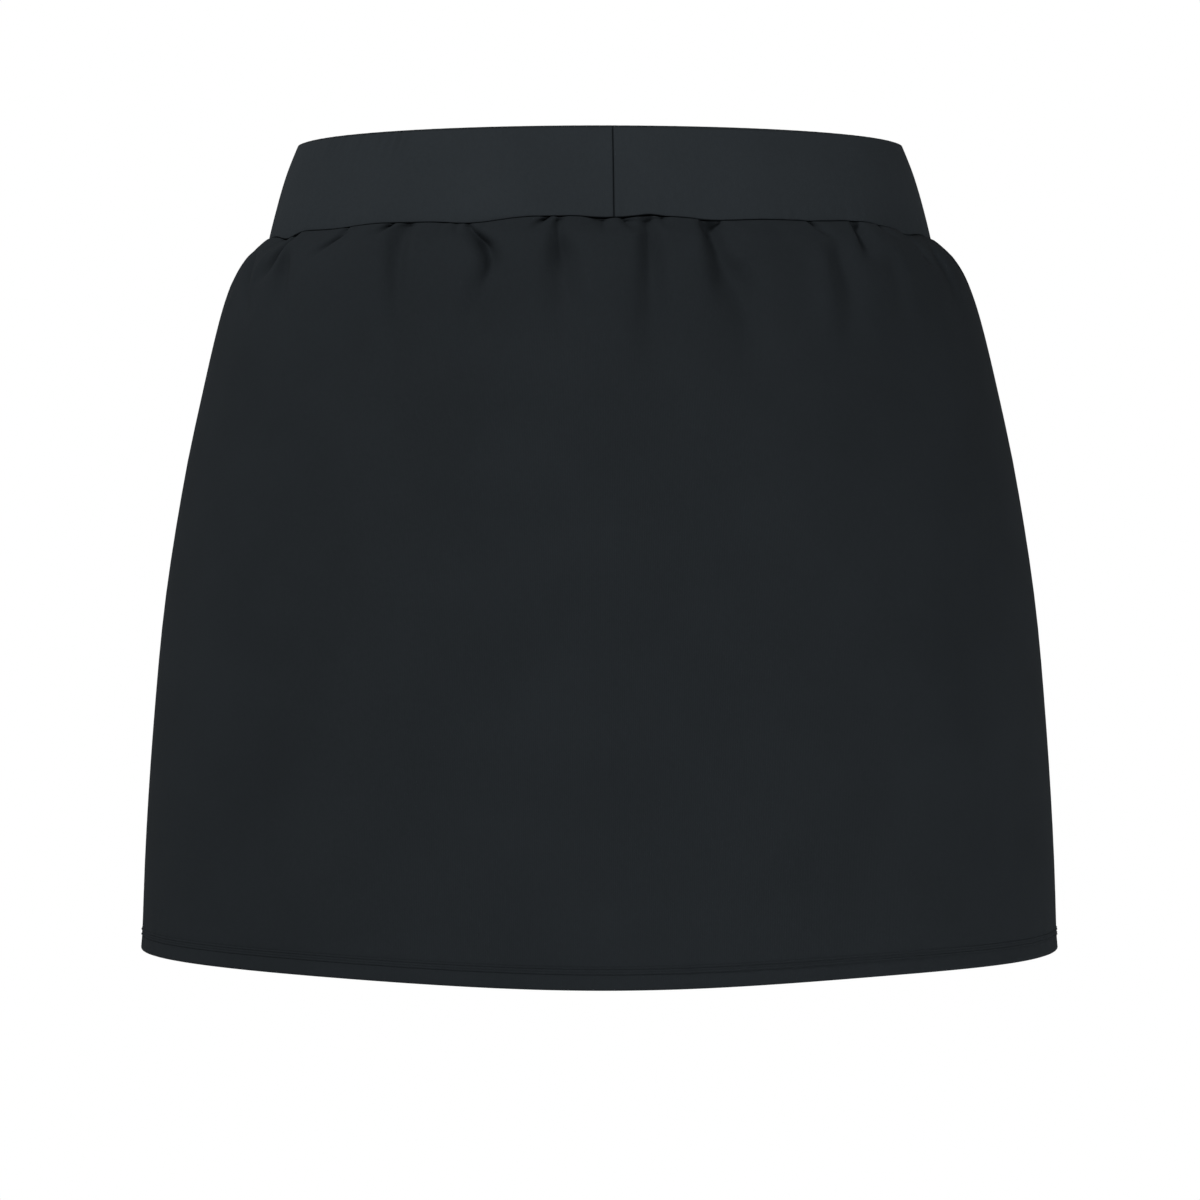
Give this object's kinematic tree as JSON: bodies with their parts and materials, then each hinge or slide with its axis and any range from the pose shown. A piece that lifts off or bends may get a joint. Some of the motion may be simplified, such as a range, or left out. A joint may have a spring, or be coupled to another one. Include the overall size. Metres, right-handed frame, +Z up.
{
  "type": "tennis skort",
  "caption": "Pull-on tennis skort in its worn shape: a gathered A-line skirt over fitted inner shorts, hung from a wide elastic waistband.",
  "frame": {"origin": "the middle of the waist, half way up the waistband, where the wearer holds the skort up", "axes": "+X towards the wearer's right, +Y the way the wearer faces, +Z up"},
  "size_m": [0.4092, 0.29, 0.365],
  "materials": {
    "band_jersey": "matt fine knit, almost black",
    "skirt_jersey": "matt fine knit, almost black",
    "shorts_jersey": "smooth compression knit, almost black"
  },
  "bodies": {
    "root": {"waistband": "band_jersey", "skirt_back": "skirt_jersey", "skirt_front": "skirt_jersey", "shorts_left": "shorts_jersey", "shorts_right": "shorts_jersey"}
  },
  "joints": []
}
